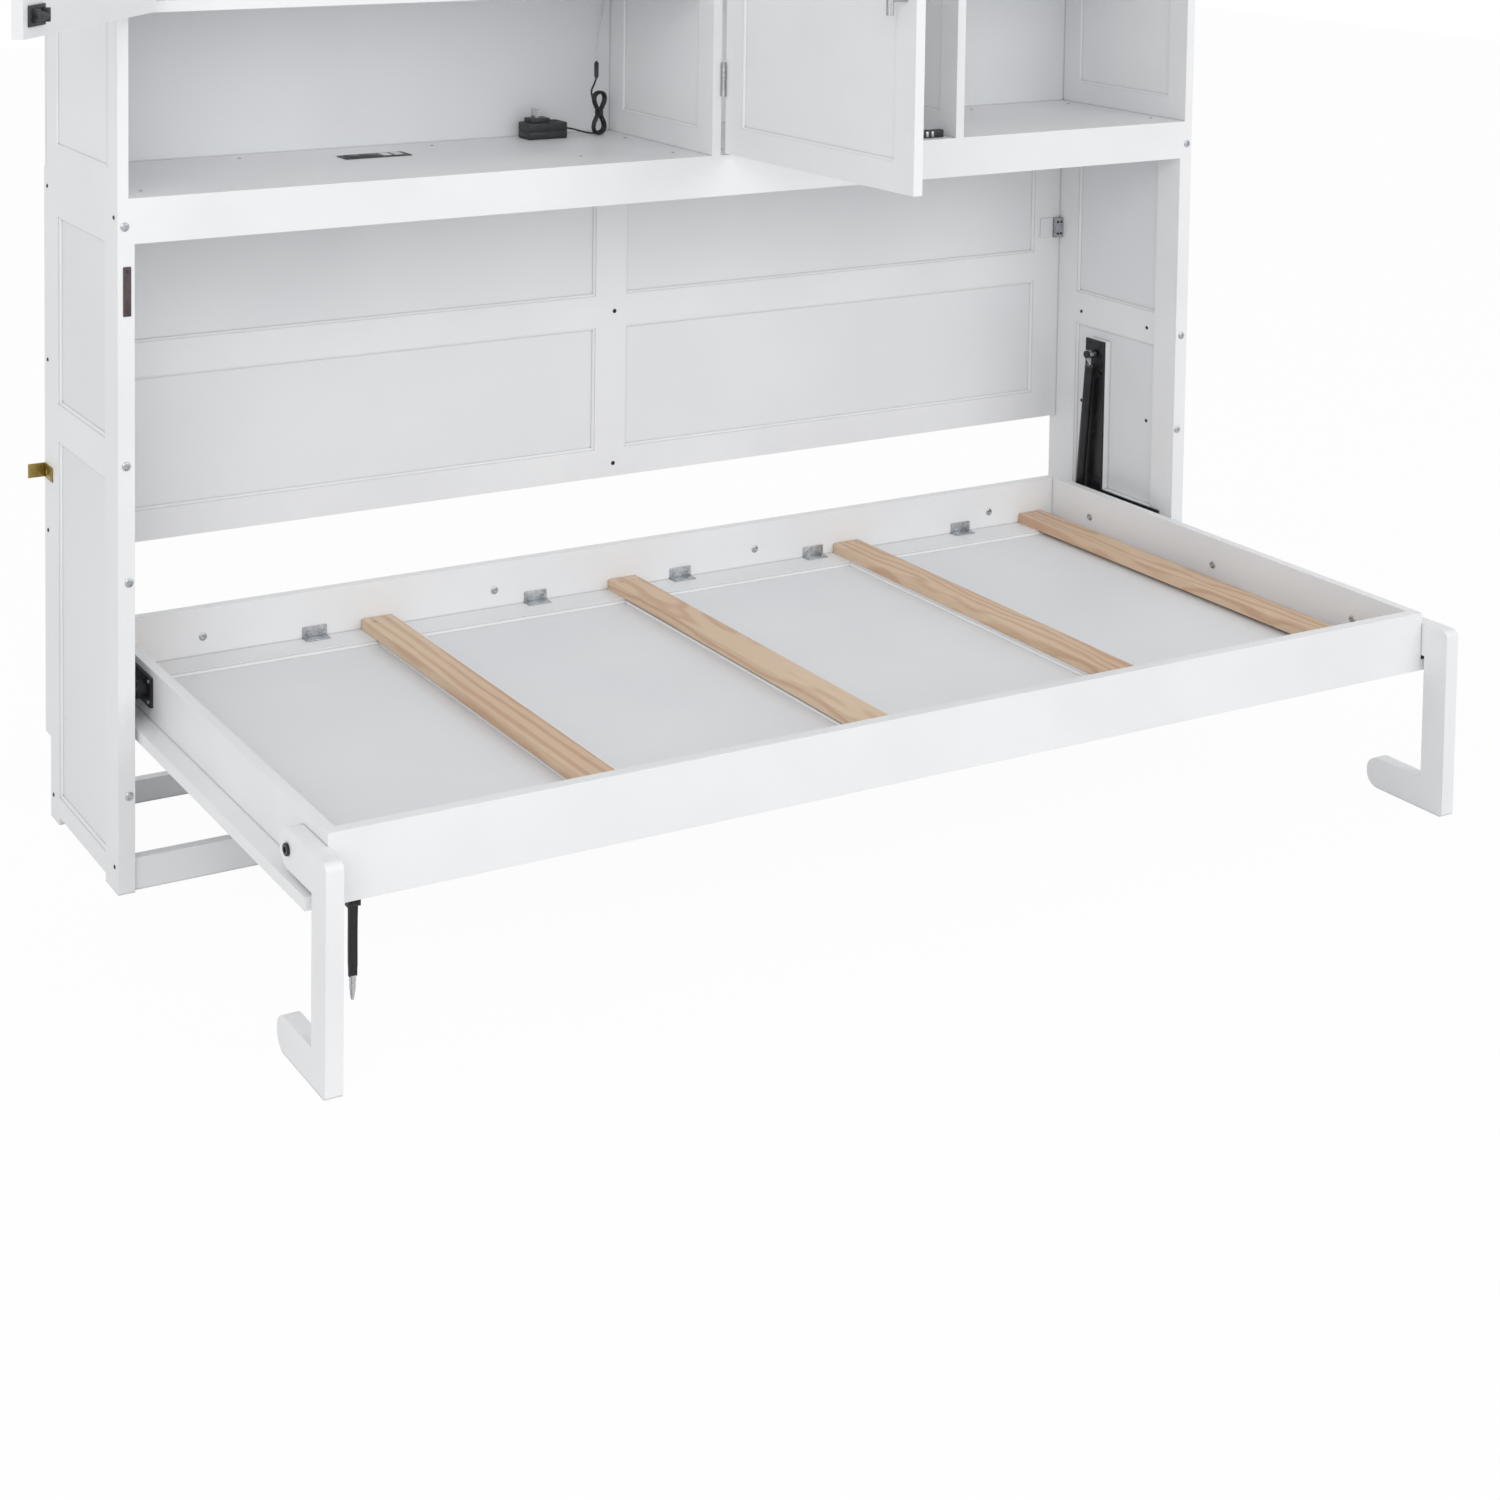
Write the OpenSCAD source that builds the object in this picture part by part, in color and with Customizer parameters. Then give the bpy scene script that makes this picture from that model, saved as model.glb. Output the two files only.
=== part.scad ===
// Horizontal wall bed: a low cabinet with an open hutch above it, and a single bed that
// folds out sideways on two pivot pins and stands on two C-shaped swing legs.
// Inside this file X starts at the cabinet's left outer face, Y at its front plane (+Y is
// towards the wall) and Z at the floor. at_origin() moves that to the middle of the front
// floor rail's underside, which is the origin of the finished model.

/* [Cabinet] */
// Outside width of the cabinet
cab_w = 2200; // [2150:10:2400]
// Depth from the front plane to the wall
cab_d = 370; // [366:2:420]
// Overall height, hutch included
cab_h = 2150; // [1900:10:2300]
// Height of the underside of the fixed shelf over the bed
shelf_z = 1090; // [1085:1:1120]
// Thickness of the shelf, the hutch boards and the rails
board_t = 18; // [15:1:20]
// Width of a front post, seen from the front
post_w = 28; // [26:1:30]
// Depth of a front post, and of the front stile of the hutch sides
post_d = 60; // [50:1:70]
// Thickness of a side frame behind its front post
side_t = 20; // [18:1:24]
// Depth of the rear stile of a side frame
rear_stile_d = 74; // [60:1:84]
// Depth of the skirting board cut-out at the rear feet
skirting_d = 28; // [15:1:35]
// Height of the skirting board cut-out
skirting_h = 137; // [80:1:160]
// Height of the gap under a side frame between its feet
foot_gap = 13; // [8:1:20]
// Bottom and top edge of the middle rail of a side frame
side_rail_z = [655, 718];
// Thickness of the recessed panels of the sides
side_panel_t = 8; // [6:1:10]
// Height of the apron under the fixed shelf
apron_h = 54; // [40:1:60]
// Height of the front floor rail
floor_rail_h = 52; // [40:1:56]
// Distance of the front floor rail behind the front plane
floor_rail_y = 8; // [4:1:12]
// Height of the rear floor rail
rear_rail_h = 40; // [30:1:50]
// Lower edge of the cabinet's back
back_z = 448; // [400:1:480]
// Width of the stile in the middle of the back
back_stile_w = 66; // [50:1:80]

/* [Hutch] */
// Left face of the first upright, measured from the left
upright_1_x = 1092; // [1060:1:1120]
// Left face of the second upright
upright_2_x = 1625; // [1600:1:1650]
// Underside of the left cupboard, over the open niche
cupboard_z = 1395; // [1380:1:1500]
// Left face of the upright inside the left cupboard
cupboard_upright_x = 488; // [486:1:560]
// Thickness of the hutch's back board
hutch_back_t = 12; // [6:1:16]
// Width of the stile that carries the left door's hinges
hinge_stile_w = 22; // [18:1:30]

/* [Doors] */
// Thickness of both doors
door_t = 18; // [16:1:20]
// Width of a door's stiles and rails
door_stile_w = 48; // [40:1:60]
// Width of the left cupboard's door
left_door_w = 450; // [420:1:455]
// How far the left door stands open at rest
left_door_open = 134; // [0:1:150]
// How far the middle door stands open at rest
middle_door_open = 88; // [0:1:110]
// Gap around a door
door_gap = 3; // [3:0.5:5]
// Distance of the hinge line in front of a closed door
hinge_line_y = 4; // [3.5:0.5:6]
// Length of a bar handle
handle_l = 190; // [120:1:260]
// Diameter of a bar handle
handle_d = 12; // [8:1:14]
// Clear distance between a bar handle and its door
handle_gap = 26; // [22:1:40]

/* [Bed] */
// Distance from the cabinet's side edge to the bed's end rail
bed_inset = 69; // [67:1:75]
// Reach of the bed in front of the front plane
bed_reach = 650; // [600:1:655]
// Depth of the bed behind the front plane
bed_back = 297; // [290:1:300]
// Height of the underside of the bed's rails
rail_z = 259; // [256:1:262]
// Height of the bed's rails
rail_h = 82; // [70:1:100]
// Thickness of the bed's rails
rail_t = 18; // [16:1:24]
// Thickness of the face frame under the rails
face_t = 19; // [16:1:19]
// Gap between the face frame and a front post
face_gap = 7; // [6:1:9]
// Width of the face frame's end stiles
face_stile_w = 100; // [80:1:120]
// Width of the face frame's other members
face_rail_w = 80; // [60:1:100]
// Thickness of the deck panels
deck_t = 6; // [4:1:8]
// Width of a slat
slat_w = 60; // [45:1:70]
// Thickness of a slat
slat_t = 18; // [14:1:22]

/* [Legs] */
// Thickness of a leg
leg_t = 26.7; // [22:0.1:26.7]
// Height of the arm of a leg
leg_arm_h = 56; // [50:1:58]
// Width of the upright of a leg
leg_w = 47; // [40:1:50]
// Reach of a leg in front of the bed
leg_reach = 54; // [50:1:60]
// Distance of the leg's bolt behind the bed's front
leg_bolt_y = 75; // [70:1:80]
// Height of the leg's bolt
leg_bolt_z = 295; // [294:0.5:296]
// Height of the foot
foot_h = 53; // [45:1:60]
// Reach of the foot behind the bolt
foot_back = 35; // [32:1:38]

/* [Fold gear] */
// How far the bed folds up while its legs are still down
bed_swing = 82; // [70:1:82]
// Place of the pivot pins: behind the front plane, and above the floor
pivot = [62, 303];
// Radius of a pivot pin
pin_r = 6; // [5:0.5:7]
// Thickness of the steel plates
plate_t = 5; // [3:0.5:5]
// Place of the gas spring's upper eye
spring_top = [221, 606];
// Place of the gas spring's lower eye
spring_foot = [247, 292];
// Diameter of the gas spring's cylinder
spring_d = 18; // [15:1:18]
// Length of the gas spring's cylinder
spring_l = 262; // [240:1:264]
// Diameter of the gas spring's rod
rod_d = 8; // [6:1:10]

/* [Hidden] */
// Smooth round faces
$fn = 48;
// Running clearance between a pin and its bore, on the radius
run = 0.05;
// Gap between pieces that move past each other
air = 0.3;

// Inner face of the front posts, and of the side frames behind them
post_x = post_w;
side_x = side_t;
shelf_top = shelf_z + board_t;
back_y = cab_d - board_t;
side_z0 = foot_gap;
side_top_rail_z = shelf_z - 56;
rear_stile_y = cab_d - rear_stile_d;
face_z = rail_z - face_t;
face_x = post_w + face_gap;
bed_x = bed_inset;
bed_y = -bed_reach;
leg_x = bed_inset - air - leg_t;
leg_y = bed_y + leg_bolt_y;
leg_front = bed_y - leg_reach;
hutch_back_y = back_y;
origin_y = floor_rail_y + board_t / 2;
spring_x = post_x + plate_t + spring_d / 2 + 4;
eye_w = 16;
eye_bolt_r = 5;
panel_x = (side_t - side_panel_t) / 2;
strap_x = 112;
strap_y = bed_y + 12;
strap_w = 13;
strap_t = 5;
screw_r = 7;
hex_r = 7;

module at_origin() translate([-cab_w / 2, -origin_y, 0]) children();
module mirrored() translate([cab_w, 0, 0]) mirror([1, 0, 0]) children();
module both() {
    children();
    mirrored() children();
}
// A straight piece from one corner to the other
module board(a, b) translate(a) cube(b - a);
// A round bar or bore along X, from one face for a length
module bar_x(x, y, z, r, l) translate([x, y, z]) rotate([0, 90, 0]) cylinder(r = r, h = l);
module bar_y(x, y, z, r, l) translate([x, y, z]) rotate([-90, 0, 0]) cylinder(r = r, h = l);

// ---------- Cabinet ----------

// Front post, rear stile, three rails and the two feet of one side, glued up as one frame
module side_frame() {
    board([0, 0, 0], [post_w, post_d, shelf_z]);
    difference() {
        board([0, rear_stile_y, 0], [side_t, cab_d, shelf_z]);
        board([-1, cab_d - skirting_d, -1], [side_t + 1, cab_d + 1, skirting_h]);
    }
    for (z = [[side_z0, side_z0 + 34], side_rail_z, [side_top_rail_z, shelf_z]])
        board([0, post_d, z[0]], [side_t, rear_stile_y, z[1]]);
}

// The two recessed panels of one side
module side_infill()
    for (z = [[side_z0 + 34, side_rail_z[0]], [side_rail_z[1], side_top_rail_z]])
        board([panel_x, post_d, z[0]], [panel_x + side_panel_t, rear_stile_y, z[1]]);

module side_left_frame() color("whitesmoke") at_origin() side_frame();
module side_right_frame() color("whitesmoke") at_origin() mirrored() side_frame();
module side_panels() color("gainsboro") at_origin() both() side_infill();

module fixed_shelf() color("whitesmoke") at_origin()
    board([0, 0, shelf_z], [cab_w, cab_d, shelf_top]);

module apron() color("whitesmoke") at_origin()
    board([post_w, 0, shelf_z - apron_h], [cab_w - post_w, board_t, shelf_z]);

// Low rails between the posts in front and between the rear stiles
module floor_rails() color("whitesmoke") at_origin() {
    board([post_w, floor_rail_y, 0], [cab_w - post_w, floor_rail_y + board_t, floor_rail_h]);
    board([side_t, cab_d - skirting_d - board_t, 0],
          [cab_w - side_t, cab_d - skirting_d, rear_rail_h]);
}

// Stiles and rails of the back: three stiles and three rails, with four openings
back_rails = [[back_z, back_z + 54], [735, 795], [shelf_z - 60, shelf_z]];
back_stiles = [
    [side_t, side_t + back_stile_w],
    [(cab_w - back_stile_w) / 2, (cab_w + back_stile_w) / 2],
    [cab_w - side_t - back_stile_w, cab_w - side_t]
];
module back_frame() color("whitesmoke") at_origin() {
    for (x = back_stiles) board([x[0], back_y, back_z], [x[1], cab_d, shelf_z]);
    for (i = [0, 1], z = back_rails)
        board([back_stiles[i][1], back_y, z[0]], [back_stiles[i + 1][0], cab_d, z[1]]);
}
module back_panels() color("gainsboro") at_origin()
    for (i = [0, 1], j = [0, 1])
        board([back_stiles[i][1], back_y + 6, back_rails[j][1]],
              [back_stiles[i + 1][0], back_y + 12, back_rails[j + 1][0]]);

// ---------- Hutch ----------

// A board with one shallow recess in each face, as a frame-and-panel board shows
module panelled(x, z0, z1) difference() {
    board([x, 0, z0], [x + board_t, back_y, z1]);
    for (s = [x - 4, x + board_t - 4])
        board([s, post_d - 12, z0 + 42], [s + 8, back_y - 46, z1 - 60]);
}
hutch_z1 = cab_h - board_t;

module hutch_sides() color("whitesmoke") at_origin() both() panelled(0, shelf_top, hutch_z1);
module hutch_uprights() color("whitesmoke") at_origin()
    for (x = [upright_1_x, upright_2_x]) panelled(x, shelf_top, hutch_z1);
module hutch_back() color("gainsboro") at_origin()
    board([0, hutch_back_y, shelf_top], [cab_w, hutch_back_y + hutch_back_t, hutch_z1]);
module hutch_top() color("whitesmoke") at_origin()
    board([0, 0, hutch_z1], [cab_w, cab_d, cab_h]);
module cupboard_bottom() color("whitesmoke") at_origin()
    board([board_t, door_t + 1.5, cupboard_z], [upright_1_x, back_y, cupboard_z + board_t]);
// Upright inside the left cupboard, and the stile that carries its door
module cupboard_uprights() color("whitesmoke") at_origin() {
    board([cupboard_upright_x, door_t + 1.5, cupboard_z + board_t],
          [cupboard_upright_x + board_t, back_y, hutch_z1]);
    board([board_t, 0, cupboard_z + board_t], [board_t + hinge_stile_w, post_d, hutch_z1]);
}
// Two loose shelves in the middle column and two in the right one
column_shelf_zs = [cupboard_z + 45, cupboard_z + 385];
module column_shelves() color("whitesmoke") at_origin()
    for (x = [[upright_1_x, upright_2_x], [upright_2_x, cab_w - board_t]], z = column_shelf_zs)
        board([x[0] + board_t, 24, z], [x[1], back_y, z + board_t]);

// ---------- Doors, hung on a vertical line and turned open ----------

middle_axis = [upright_1_x + board_t + door_gap / 2, -hinge_line_y];
left_axis = [board_t + hinge_stile_w + door_gap / 2, -hinge_line_y];
middle_door_w = upright_2_x - upright_1_x - board_t - 2 * door_gap;
middle_door_z = [shelf_top + 4, hutch_z1 - door_gap];
left_door_z = [cupboard_z + 5, hutch_z1 - door_gap];
middle_hinge_zs = [100, 420, middle_door_z[1] - middle_door_z[0] - 117];
left_hinge_zs = [90, left_door_z[1] - left_door_z[0] - 129];
middle_handle_h = 285;
left_handle_h = 60;
knuckle_r = hinge_line_y - 0.2;
knuckle_l = 60;
hinge_pin_r = 2;
leaf_t = 1.2;

// Draws in a door's closed place, turned open about its hinge line
module hung(axis, angle)
    translate([axis[0], axis[1], 0]) rotate([0, 0, -angle]) children();

// A door from its hinge line, with two recessed panels in its front
module door_leaf(w, z) {
    x = door_gap / 2;
    y = hinge_line_y;
    middle = (z[0] + z[1]) / 2 - 64;
    difference() {
        board([x, y, z[0]], [x + w, y + door_t, z[1]]);
        for (p = [[z[0] + door_stile_w, middle - 30], [middle + 30, z[1] - door_stile_w]])
            board([x + door_stile_w, y - 1, p[0]], [x + w - door_stile_w, y + 5, p[1]]);
    }
}

// Bar handle: a round bar on two posts, standing off the door's front
module bar_handle(w, z) {
    x = w - door_stile_w / 2;
    reach = handle_gap + handle_d / 2;
    translate([x, hinge_line_y - reach, z]) cylinder(d = handle_d, h = handle_l);
    for (h = [25, handle_l - 25])
        bar_y(x, hinge_line_y - reach, z + h, handle_d / 2 - 1.5, reach);
}

// Half of a butt hinge that stays in the cabinet: pin, two end knuckles and a leaf
end_l = 15;
module fixed_hinge(z) translate([0, 0, z]) {
    cylinder(r = hinge_pin_r, h = knuckle_l);
    for (h = [0, knuckle_l - end_l + air]) {
        translate([0, 0, h]) cylinder(r = knuckle_r, h = end_l - air);
        board([-door_gap / 2, 0, h], [leaf_t - door_gap / 2, hinge_line_y + 1, h + end_l - air]);
    }
    board([-door_gap / 2, hinge_line_y + 0.2, 0],
          [leaf_t - door_gap / 2, hinge_line_y + door_t, knuckle_l]);
}
// The half that turns with the door: the middle knuckle and its leaf
module door_hinge(z) translate([0, 0, z]) difference() {
    union() {
        translate([0, 0, end_l]) cylinder(r = knuckle_r, h = knuckle_l - 2 * end_l);
        board([door_gap / 2 - leaf_t, 0, end_l],
              [door_gap / 2, hinge_line_y + door_t, knuckle_l - end_l]);
    }
    cylinder(r = hinge_pin_r + run, h = knuckle_l);
}

module middle_door() color("whitesmoke") at_origin() hung(middle_axis, middle_door_open)
    door_leaf(middle_door_w, middle_door_z);
module middle_door_handle() color("silver") at_origin() hung(middle_axis, middle_door_open)
    bar_handle(middle_door_w, middle_door_z[0] + middle_handle_h);
module middle_door_leaves() color("dimgray") at_origin() hung(middle_axis, middle_door_open)
    for (h = middle_hinge_zs) door_hinge(middle_door_z[0] + h);
module middle_door_hinges() color("dimgray") at_origin() hung(middle_axis, 0)
    for (h = middle_hinge_zs) fixed_hinge(middle_door_z[0] + h);
module left_door() color("whitesmoke") at_origin() hung(left_axis, left_door_open)
    door_leaf(left_door_w, left_door_z);
module left_door_handle() color("silver") at_origin() hung(left_axis, left_door_open)
    bar_handle(left_door_w, left_door_z[0] + left_handle_h);
module left_door_leaves() color("dimgray") at_origin() hung(left_axis, left_door_open)
    for (h = left_hinge_zs) door_hinge(left_door_z[0] + h);
module left_door_hinges() color("dimgray") at_origin() hung(left_axis, 0)
    for (h = left_hinge_zs) fixed_hinge(left_door_z[0] + h);

// ---------- Small parts of the hutch ----------

// Magnet catch for the middle door, screwed to the fixed shelf
module middle_door_catch() color("black") at_origin()
    board([upright_2_x - 72, door_t + 2, shelf_top], [upright_2_x - 12, door_t + 16, shelf_top + 14]);
// Roller catch on the back of the left door, near its free corner
module left_door_catch() color("black") at_origin() hung(left_axis, left_door_open) {
    y = hinge_line_y + door_t;
    board([left_door_w - 62, y, left_door_z[0] + 16],
          [left_door_w - 12, y + 8, left_door_z[0] + 46]);
    bar_x(left_door_w - 54, y + 9, left_door_z[0] + 30, 7, 34);
}

// Socket strip let flush into the niche's floor
strip_at = [491, back_y - 130, shelf_top];
module power_strip() color("black") at_origin() translate(strip_at) board([0, 0, 0], [126, 40, 3]);

// Mains adapter with a stepped foot, lying on the niche's floor
niche_corner = [upright_1_x, back_y, shelf_top];
adapter_at = niche_corner - [202, 57, 0];
module adapter() color("black") at_origin() translate(adapter_at) {
    board([0, 0, 0], [80, 44, 30]);
    board([8, 8, 30], [48, 36, 38]);
    bar_x(80, 22, 15, 5, 8);
}
module adapter_pins() color("silver") at_origin() translate(adapter_at)
    for (y = [14, 28.5]) board([20, y, 38], [26, y + 1.5, 55]);

// ---------- Cords ----------

// Points of a tube's ring around p, square to the direction d
function unit(v) = v / norm(v);
function ring_axes(d) =
    let (u = unit(cross(abs(d[2]) < 0.9 ? [0, 0, 1] : [0, 1, 0], d))) [u, unit(cross(d, u))];
function direction(p, i) = unit(p[min(i + 1, len(p) - 1)] - p[max(i - 1, 0)]);
// A tube of eight sides swept along the route p
module tube(p, r) {
    n = 8;
    pts = [for (i = [0 : len(p) - 1]) let (a = ring_axes(direction(p, i)))
        for (k = [0 : n - 1])
            p[i] + r * (cos(360 * (k + 0.5) / n) * a[0] + sin(360 * (k + 0.5) / n) * a[1])];
    sides = [for (i = [0 : len(p) - 2], k = [0 : n - 1])
        [i * n + k, i * n + (k + 1) % n, (i + 1) * n + (k + 1) % n, (i + 1) * n + k]];
    caps = [[for (k = [n - 1 : -1 : 0]) k], [for (k = [0 : n - 1]) (len(p) - 1) * n + k]];
    polyhedron(points = pts, faces = concat(sides, caps));
}
// Low-voltage lead from the adapter to the hank on the niche's floor
lead_route = [
    [-116, -35, 15], [-108, -35, 15], [-98, -37, 14], [-88, -41, 12], [-78, -45, 11],
    [-60, -47, 11]
];
module adapter_lead() color("black") at_origin() translate(niche_corner) tube(lead_route, 2);
// The lead wound into a tied hank that stands in the corner, narrow at its tie
module lead_hank() color("black") at_origin()
    translate(niche_corner + [-51, -47, 0]) rotate([90, 0, 0]) linear_extrude(16, center = true)
        union() {
            translate([0, 14]) circle(14);
            translate([0, 66]) circle(17);
            translate([-8, 14]) square([16, 52]);
        }
// From the top of the hank to the connector
link_route = [[-53, -47, 78], [-51, -44, 89], [-49, -39, 99], [-49, -34, 108]];
barrel_at = niche_corner + [-49, -34, 104];
module connector_lead() color("black") at_origin() translate(niche_corner) tube(link_route, 2);
module barrel_connector() color("black") at_origin() translate(barrel_at) cylinder(d = 9, h = 32);
// Thin white lead that rises up the corner and into the cupboard's floor
led_route = [
    [-49, -34, 133], [-48, -31, 146], [-43, -24, 167], [-34, -15, 192], [-23, -9, 222],
    [-16, -6, 254], [-16, -6, cupboard_z + 4 - shelf_top]
];
module led_lead() color("white") at_origin() translate(niche_corner) tube(led_route, 1.5);

// ---------- Cabinet fastenings ----------

// Zinc angles that tie the sides to the wall, with two holes in each leg
wall_angle_z = 590;
wall_angle_w = 24;
module wall_angle() difference() {
    union() for (a = [[-2, cab_d - 44], [-30, cab_d - 2]])
        board([a[0], a[1], wall_angle_z - wall_angle_w / 2],
              [0, cab_d, wall_angle_z + wall_angle_w / 2]);
    for (y = [cab_d - 34, cab_d - 16]) bar_x(-3, y, wall_angle_z, 2.5, 4);
    for (x = [-22, -10]) bar_y(x, cab_d - 3, wall_angle_z, 2.5, 4);
}
module wall_brackets() color("goldenrod") at_origin() both() wall_angle();

// Zinc corner plates, where the sides meet the back
corner_zs = [824, 864];
module corner_brackets() color("silver") at_origin() both()
    board([side_t, back_y - 11, corner_zs[0]], [side_t + 19, back_y, corner_zs[1]]);
// Thin pads on the back, which the stowed legs come to rest against
module leg_stops() color("gainsboro") at_origin() both()
    board([side_t + 20, back_y - 2, corner_zs[0]], [side_t + 52, back_y, corner_zs[1]]);

// Recessed lock plate in the left post
module strike_plate() color("black") at_origin()
    board([9, -1.5, 923], [22, 0, 1001]);

// Cap bolts through the front posts
post_bolts = [[12, shelf_z - 26], [14, 686], [18.5, 500], [18.5, 157]];
module cabinet_bolts() color("dimgray") at_origin() both()
    for (b = post_bolts) bar_y(b[0], -2, b[1], screw_r, 2);

// ---------- Fold gear on the cabinet ----------

// L-shaped steel plate: its arm carries the pivot pin and its upright the gas spring
arm_y = 34;
plate_y = [197, 250];
plate_top = 633;
module pivot_plate() difference() {
    union() {
        board([post_x, arm_y, pivot[1] - 28], [post_x + plate_t, plate_y[1], pivot[1] + 28]);
        board([post_x, plate_y[0], pivot[1]], [post_x + plate_t, plate_y[1], plate_top]);
    }
    bar_x(post_x - 1, pivot[0], pivot[1], pin_r + run, plate_t + 2);
    bar_x(post_x - 1, spring_top[0], spring_top[1], eye_bolt_r, plate_t + 2);
}
module pivot_plates() color("black") at_origin() both() pivot_plate();
// Wood packing between the side panel and the plate, behind the post
module plate_packing() color("whitesmoke") at_origin() both() {
    x = panel_x + side_panel_t;
    board([x, post_d, pivot[1] - 28], [post_x, plate_y[1], pivot[1] + 28]);
    board([x, plate_y[0], pivot[1] + 28], [post_x, plate_y[1], plate_top]);
}

// Shoulder bolt for the spring's upper eye, and two hex bolts through the plate
module spring_bolt() {
    bolt_l = spring_x + eye_w / 2 + air - post_x;
    bar_x(post_x, spring_top[0], spring_top[1], eye_bolt_r, bolt_l);
    bar_x(post_x + bolt_l, spring_top[0], spring_top[1], 7.5, 3.5);
    for (y = [-12, 14])
        translate([post_x + plate_t, spring_top[0] + y, spring_top[1] - 40])
            rotate([0, 90, 0]) cylinder(r = hex_r, h = 5, $fn = 6);
}
module spring_bolts() color("black") at_origin() both() spring_bolt();

// ---------- Bed ----------

boss_l = 14;
module pivot_pins() color("silver") at_origin() both()
    bar_x(post_x + air, pivot[0], pivot[1], pin_r, bed_x - post_x - 2 * air);

module end_rail() difference() {
    board([bed_x, bed_y, rail_z], [bed_x + rail_t, bed_back, rail_z + rail_h]);
    bar_x(bed_x - 1, leg_y, leg_bolt_z, pin_r, 13);
}
module end_rail_left() color("whitesmoke") at_origin() end_rail();
module end_rail_right() color("whitesmoke") at_origin() mirrored() end_rail();
module front_rail() color("whitesmoke") at_origin()
    board([bed_x + rail_t, bed_y, rail_z], [cab_w - bed_x - rail_t, bed_y + rail_t, rail_z + rail_h]);
module back_rail() color("whitesmoke") at_origin()
    board([bed_x + rail_t, bed_back - rail_t, rail_z],
          [cab_w - bed_x - rail_t, bed_back, rail_z + rail_h]);

// Face frame: the bed's front when it is folded up, with four panels
face_cols = 4;
face_w = cab_w - 2 * face_x;
panel_w = (face_w - 2 * face_stile_w - (face_cols - 1) * face_rail_w) / face_cols;
module face_panels(z0, z1)
    for (i = [0 : face_cols - 1]) {
        x = face_x + face_stile_w + i * (panel_w + face_rail_w);
        board([x, bed_y + face_rail_w, z0], [x + panel_w, bed_back - face_rail_w, z1]);
    }
module face_frame() color("whitesmoke") at_origin() difference() {
    board([face_x, bed_y, face_z], [cab_w - face_x, bed_back, rail_z]);
    face_panels(face_z - 1, rail_z + 1);
}
module deck_panels() color("gainsboro") at_origin()
    face_panels(face_z + (face_t - deck_t) / 2, face_z + (face_t + deck_t) / 2);

// Five loose slats on the face frame, inside the rails
slat_xs = [bed_x + rail_t + 0.5 + slat_w / 2, cab_w * 0.264, cab_w * 0.494, cab_w * 0.726, cab_w - 144];
module slats() color("burlywood") at_origin()
    for (x = slat_xs)
        board([x - slat_w / 2, bed_y + rail_t + 0.5, rail_z],
              [x + slat_w / 2, bed_back - rail_t - 0.5, rail_z + slat_t]);

// Zinc angles in the corner of the back rail and the face frame
bracket_xs = [for (s = [0.209, 0.41, 0.552, 0.69, 0.853]) cab_w * s];
module angle_brackets() color("lightgray") at_origin()
    for (x = bracket_xs) {
        y = bed_back - rail_t;
        board([x - 23, y - 2, rail_z], [x + 23, y, rail_z + 20]);
        board([x - 23, y - 20, rail_z], [x + 23, y, rail_z + 2]);
    }

// Screw heads on the inner faces of the rails
module bed_screws() color("dimgray") at_origin() {
    for (k = [-1.5 : 1 : 1.5]) bar_y(cab_w * (0.5 + 0.257 * k), bed_back - rail_t - 2, rail_z + 32, screw_r, 2);
    for (y = [166, -174, -514]) both() bar_x(bed_x + rail_t, y, rail_z + 31, screw_r, 2);
}

// Steel plates on the end rails, with a boss for the pivot pin and a stub for the spring
module bed_plate() difference() {
    union() {
        board([bed_x - plate_t, 30, pivot[1] - 22], [bed_x, 272, pivot[1] + 26]);
        bar_x(bed_x - plate_t - boss_l, pivot[0], pivot[1], 15, boss_l);
        bar_x(spring_x + eye_w / 2 + air, spring_foot[0], spring_foot[1], eye_bolt_r,
              bed_x - plate_t - spring_x - eye_w / 2 - air);
    }
    bar_x(bed_x - plate_t - boss_l - 1, pivot[0], pivot[1], pin_r, boss_l + plate_t + 2);
}
module bed_plates() color("black") at_origin() both() bed_plate();

// ---------- Legs ----------

module leg_bolt() {
    bar_x(leg_x - air, leg_y, leg_bolt_z, pin_r, bed_x + 12 - leg_x + air);
    bar_x(leg_x - air - 4, leg_y, leg_bolt_z, 9, 4);
}
module leg_bolts() color("dimgray") at_origin() both() leg_bolt();

// Rubber pads under the arms of the legs
module leg_pads() color("black") at_origin() both()
    board([bed_x - 16, bed_y, rail_z],
          [bed_x - air, bed_y + 14, leg_bolt_z - leg_arm_h / 2 - air]);

// Outline of a C-shaped leg: arm, upright and foot, with round rear ends
module leg_outline() {
    arm_r = leg_arm_h / 2;
    y = leg_y;
    z = leg_bolt_z;
    round_r = 24;
    union() {
        translate([y, z]) circle(arm_r);
        translate([leg_front + 12, z - arm_r]) square([y - leg_front - 12, leg_arm_h]);
        translate([leg_front, foot_h / 2]) square([leg_w, z + arm_r - 12 - foot_h / 2]);
        translate([leg_front + 12, z + arm_r - 12]) circle(12);
        translate([leg_front + 6, 6]) circle(6);
        translate([leg_front, 6]) square([leg_w, foot_h - 6]);
        translate([leg_front + 6, 0]) square([y + foot_back - round_r - leg_front - 6, foot_h]);
        translate([y + foot_back - round_r, round_r]) circle(round_r);
        translate([y + foot_back - round_r, foot_h - round_r]) circle(round_r);
        translate([y + foot_back - round_r, round_r]) square([round_r, foot_h - 2 * round_r]);
    }
}
module leg() difference() {
    translate([leg_x, 0, 0]) rotate([90, 0, 90]) linear_extrude(leg_t) leg_outline();
    bar_x(leg_x - 1, leg_y, leg_bolt_z, pin_r + run, leg_t + 2);
}
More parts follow.
